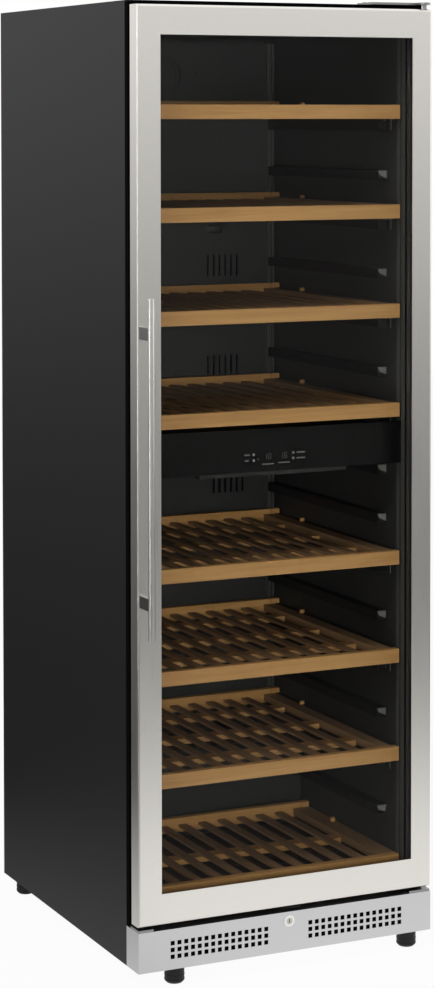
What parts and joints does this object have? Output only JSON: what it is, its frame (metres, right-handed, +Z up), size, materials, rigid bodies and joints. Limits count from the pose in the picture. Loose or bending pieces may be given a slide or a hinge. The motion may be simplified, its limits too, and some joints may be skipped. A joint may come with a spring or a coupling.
{
  "type": "refrigerated wine cabinet",
  "caption": "tall upright cooled cabinet with a framed glass door, a bar handle, slatted wooden shelves on runners, a control strip between two zones and a vented plinth on feet",
  "frame": {"origin": "on the floor, under the middle of the whole outline with the handle", "axes": "+X to the right seen from the front, +Y from the door to the back, +Z up"},
  "size_m": [0.595, 0.731, 1.7656],
  "materials": {
    "black_paint": "satin black sheet steel",
    "stainless": "brushed stainless sheet",
    "zinc_steel": "zinc coated sheet",
    "hinge_steel": "bright zinc plate",
    "insulation": null,
    "black_plastic": "fine matt black moulding",
    "control_black": "smooth black fascia and keys",
    "light_cover": "clear light cover",
    "rubber": "soft black",
    "glass": "clear",
    "aluminium": "plain mill finish",
    "copper": "copper tube",
    "beech": "oiled hardwood"
  },
  "bodies": {
    "cabinet": {"side_panel_left": "black_paint", "side_panel_right": "black_paint", "top_panel": "black_paint", "rear_panel": "zinc_steel", "base_tray": "zinc_steel", "foam_insulation": "insulation", "inner_liner": "black_plastic", "shelf_ribs": "black_plastic", "shelf_guides": "black_plastic", "front_frame": "black_plastic", "duct_covers": "black_plastic", "carbon_filter": "black_plastic", "evaporators": "aluminium", "fan_frames": "black_paint", "zone_divider": "black_plastic", "control_fascia": "control_black", "control_board": "control_black", "light_strips": "light_cover", "plinth": "stainless", "lock_housing": "hinge_steel", "compressor": "black_paint", "compressor_mounts": "rubber", "condenser": "aluminium", "refrigerant_pipes": "copper", "drip_tray": "black_plastic", "electronics_box": "black_plastic", "service_cover": "zinc_steel", "cable_gland": "black_plastic", "hinge_brackets": "hinge_steel", "screws": "hinge_steel"},
    "door": {"door_frame": "stainless", "door_core": "black_plastic", "glass_outer": "glass", "glass_inner": "glass", "glass_spacer": "aluminium", "door_gasket": "rubber", "handle_bar": "stainless", "handle_posts": "stainless", "hinge_bushes": "black_plastic"},
    "shelf_1": {"shelf_1": "beech"},
    "shelf_2": {"shelf_2": "beech"},
    "shelf_3": {"shelf_3": "beech"},
    "shelf_4": {"shelf_4": "beech"},
    "shelf_5": {"shelf_5": "beech"},
    "shelf_6": {"shelf_6": "beech"},
    "shelf_7": {"shelf_7": "beech"},
    "shelf_8": {"shelf_8": "beech"},
    "lock_cylinder": {"lock_cylinder": "hinge_steel"},
    "fan_rotor_upper": {"fan_rotor_upper": "black_paint"},
    "fan_rotor_lower": {"fan_rotor_lower": "black_paint"},
    "condenser_fan_rotor": {"condenser_fan_rotor": "black_paint"},
    "key_power": {"key_power": "control_black"},
    "key_light": {"key_light": "control_black"},
    "key_up": {"key_up": "control_black"},
    "key_down": {"key_down": "control_black"},
    "foot_front_left": {"foot_front_left": "black_plastic"},
    "foot_front_right": {"foot_front_right": "black_plastic"},
    "foot_rear_left": {"foot_rear_left": "black_plastic"},
    "foot_rear_right": {"foot_rear_right": "black_plastic"}
  },
  "joints": [
    {"name": "door_hinge", "type": "hinge", "parent": "cabinet", "child": "door", "pos_m": [0.2855, -0.3065, 0.925], "axis": [0, 0, 1], "range_deg": [0, 120]},
    {"name": "shelf_1_slide", "type": "slide", "parent": "cabinet", "child": "shelf_1", "axis": [0, -1, 0], "range_m": [0, 0.3]},
    {"name": "shelf_2_slide", "type": "slide", "parent": "cabinet", "child": "shelf_2", "axis": [0, -1, 0], "range_m": [0, 0.3]},
    {"name": "shelf_3_slide", "type": "slide", "parent": "cabinet", "child": "shelf_3", "axis": [0, -1, 0], "range_m": [0, 0.3]},
    {"name": "shelf_4_slide", "type": "slide", "parent": "cabinet", "child": "shelf_4", "axis": [0, -1, 0], "range_m": [0, 0.3]},
    {"name": "shelf_5_slide", "type": "slide", "parent": "cabinet", "child": "shelf_5", "axis": [0, -1, 0], "range_m": [0, 0.3]},
    {"name": "shelf_6_slide", "type": "slide", "parent": "cabinet", "child": "shelf_6", "axis": [0, -1, 0], "range_m": [0, 0.3]},
    {"name": "shelf_7_slide", "type": "slide", "parent": "cabinet", "child": "shelf_7", "axis": [0, -1, 0], "range_m": [0, 0.3]},
    {"name": "shelf_8_slide", "type": "slide", "parent": "cabinet", "child": "shelf_8", "axis": [0, -1, 0], "range_m": [0, 0.3]},
    {"name": "lock_turn", "type": "hinge", "parent": "cabinet", "child": "lock_cylinder", "pos_m": [0.0015, -0.3145, 0.0892], "axis": [0, -1, 0], "range_deg": [0, 90]},
    {"name": "fan_rotor_upper_spin", "type": "hinge", "parent": "cabinet", "child": "fan_rotor_upper", "pos_m": [0, 0.2855, 1.252], "axis": [0, 1, 0], "continuous": true},
    {"name": "fan_rotor_lower_spin", "type": "hinge", "parent": "cabinet", "child": "fan_rotor_lower", "pos_m": [0, 0.2855, 0.809], "axis": [0, 1, 0], "continuous": true},
    {"name": "condenser_fan_rotor_spin", "type": "hinge", "parent": "cabinet", "child": "condenser_fan_rotor", "pos_m": [0.16528, 0.2355, 0.1077], "axis": [0, 1, 0], "continuous": true},
    {"name": "key_power_press", "type": "slide", "parent": "cabinet", "child": "key_power", "axis": [0, 1, 0], "range_m": [0, 0.0005], "stiffness_N_per_m": 600},
    {"name": "key_light_press", "type": "slide", "parent": "cabinet", "child": "key_light", "axis": [0, 1, 0], "range_m": [0, 0.0005], "stiffness_N_per_m": 600},
    {"name": "key_up_press", "type": "slide", "parent": "cabinet", "child": "key_up", "axis": [0, 1, 0], "range_m": [0, 0.0005], "stiffness_N_per_m": 600},
    {"name": "key_down_press", "type": "slide", "parent": "cabinet", "child": "key_down", "axis": [0, 1, 0], "range_m": [0, 0.0005], "stiffness_N_per_m": 600},
    {"name": "foot_front_left_screw", "type": "hinge", "parent": "cabinet", "child": "foot_front_left", "pos_m": [-0.2145, -0.2845, 0.033], "axis": [0, 0, 1], "continuous": true},
    {"name": "foot_front_right_screw", "type": "hinge", "parent": "cabinet", "child": "foot_front_right", "pos_m": [0.2625, -0.2845, 0.033], "axis": [0, 0, 1], "continuous": true},
    {"name": "foot_rear_left_screw", "type": "hinge", "parent": "cabinet", "child": "foot_rear_left", "pos_m": [-0.2665, 0.3255, 0.033], "axis": [0, 0, 1], "continuous": true},
    {"name": "foot_rear_right_screw", "type": "hinge", "parent": "cabinet", "child": "foot_rear_right", "pos_m": [0.2665, 0.3255, 0.033], "axis": [0, 0, 1], "continuous": true}
  ],
  "couplings": [
    {"joint": "shelf_1_slide", "follows": "door_hinge", "m_per_rad": 0.028},
    {"joint": "shelf_2_slide", "follows": "door_hinge", "m_per_rad": 0.028},
    {"joint": "shelf_3_slide", "follows": "door_hinge", "m_per_rad": 0.028},
    {"joint": "shelf_4_slide", "follows": "door_hinge", "m_per_rad": 0.028},
    {"joint": "shelf_5_slide", "follows": "door_hinge", "m_per_rad": 0.028},
    {"joint": "shelf_6_slide", "follows": "door_hinge", "m_per_rad": 0.028},
    {"joint": "shelf_7_slide", "follows": "door_hinge", "m_per_rad": 0.028},
    {"joint": "shelf_8_slide", "follows": "door_hinge", "m_per_rad": 0.028}
  ]
}
